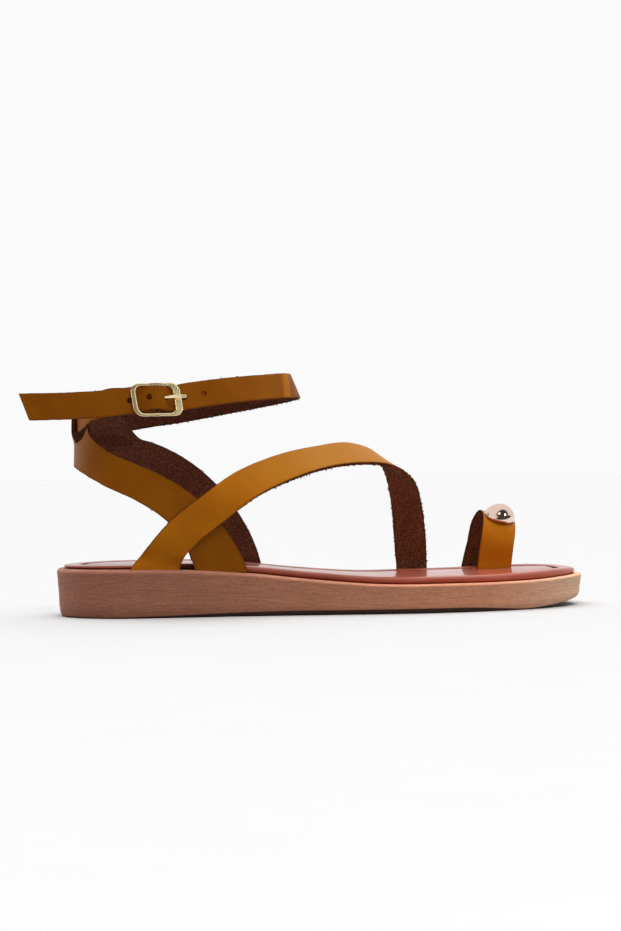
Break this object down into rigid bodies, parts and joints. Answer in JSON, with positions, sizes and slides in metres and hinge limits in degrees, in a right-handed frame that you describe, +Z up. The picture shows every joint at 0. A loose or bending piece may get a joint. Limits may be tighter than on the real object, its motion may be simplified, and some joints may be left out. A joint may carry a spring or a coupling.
{
  "type": "toe loop sandal",
  "caption": "Flat wedge-soled leather sandal for a right foot, with a padded insole, a crossed instep strap and heel sling, a buckled ankle strap and a studded big-toe loop.",
  "frame": {"origin": "on the floor under the middle of the sole's length, at the middle of its heel's width", "axes": "+X to the toe, +Y to the inner side of the foot, +Z up from the floor"},
  "size_m": [0.2728, 0.089, 0.1126],
  "materials": {
    "outsole_rubber": "matt pinkish tan with fine lines along the side",
    "insole_leather": "smooth glossy reddish brown",
    "strap_leather": "smooth mustard tan outside, dark suede inside",
    "stud_metal": "polished rose gold",
    "buckle_metal": "brushed pale gold"
  },
  "bodies": {
    "root": {"outsole": "outsole_rubber", "insole": "insole_leather", "upper": "strap_leather", "ankle_strap": "strap_leather", "toe_loop": "strap_leather", "toe_stud": "stud_metal", "buckle_frame": "buckle_metal", "buckle_prong": "buckle_metal"}
  },
  "joints": []
}
